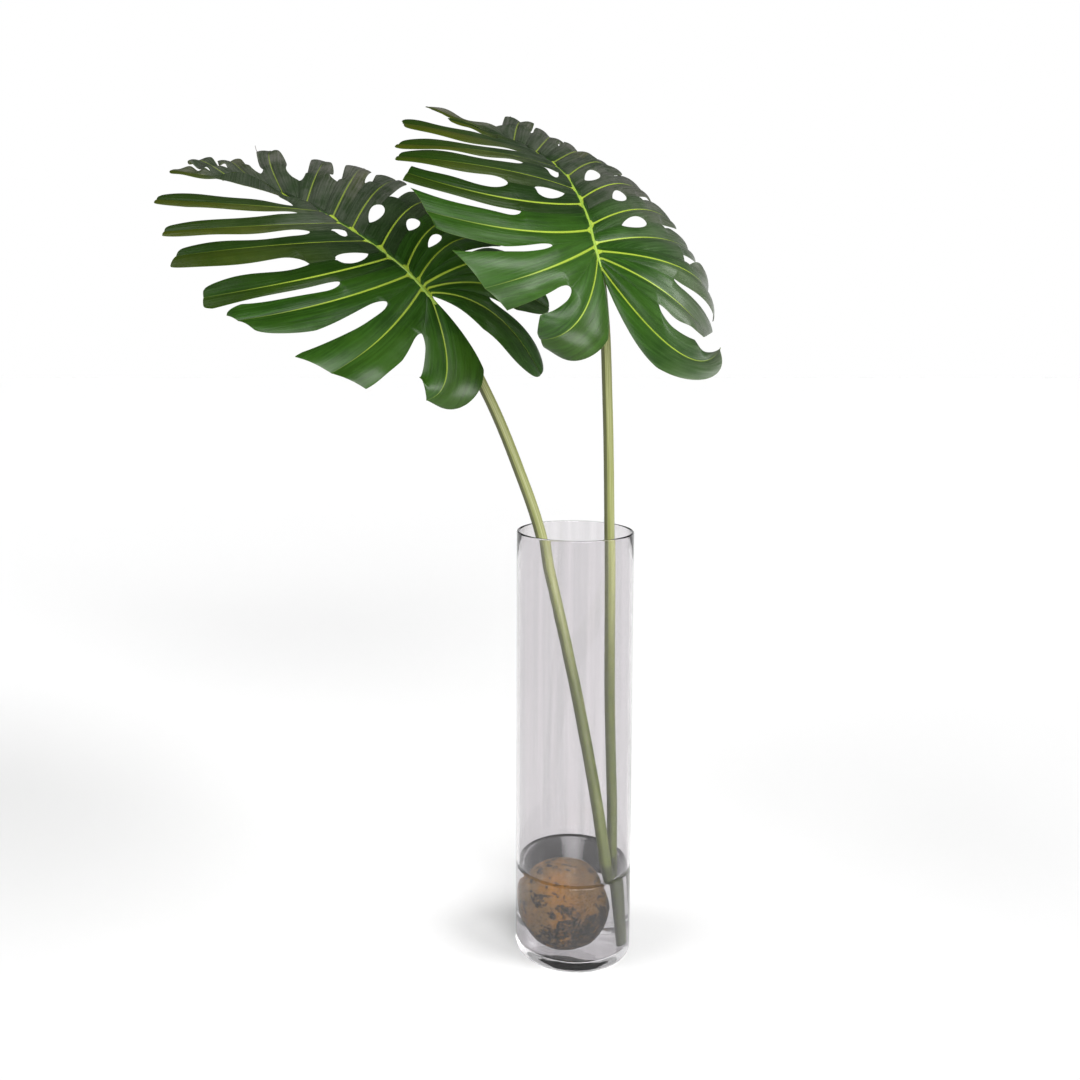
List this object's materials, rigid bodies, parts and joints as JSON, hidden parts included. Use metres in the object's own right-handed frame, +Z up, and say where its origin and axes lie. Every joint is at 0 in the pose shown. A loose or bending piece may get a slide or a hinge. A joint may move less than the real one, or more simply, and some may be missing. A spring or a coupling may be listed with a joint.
{
  "type": "monstera leaves in a glass cylinder vase",
  "caption": "Split monstera leaves on long stems, standing in a tall clear glass cylinder with water and a round stone.",
  "frame": {"origin": "centre of the vase's flat underside", "axes": "+Z up along the vase, -Y towards the side the leaves face, +X to that viewer's right"},
  "size_m": [0.6609, 0.5459, 0.9507],
  "materials": {
    "clear_glass": "polished",
    "clear_water": "smooth and wet",
    "tan_stone": "worn smooth, wet",
    "leaf_green": "glossy, waxy leaf",
    "stem_green": "satin stem"
  },
  "bodies": {
    "root": {"glass_vase": "clear_glass", "water": "clear_water", "stone": "tan_stone", "leaf_left_blade": "leaf_green", "leaf_left_petiole": "stem_green", "leaf_right_blade": "leaf_green", "leaf_right_petiole": "stem_green"}
  },
  "joints": []
}
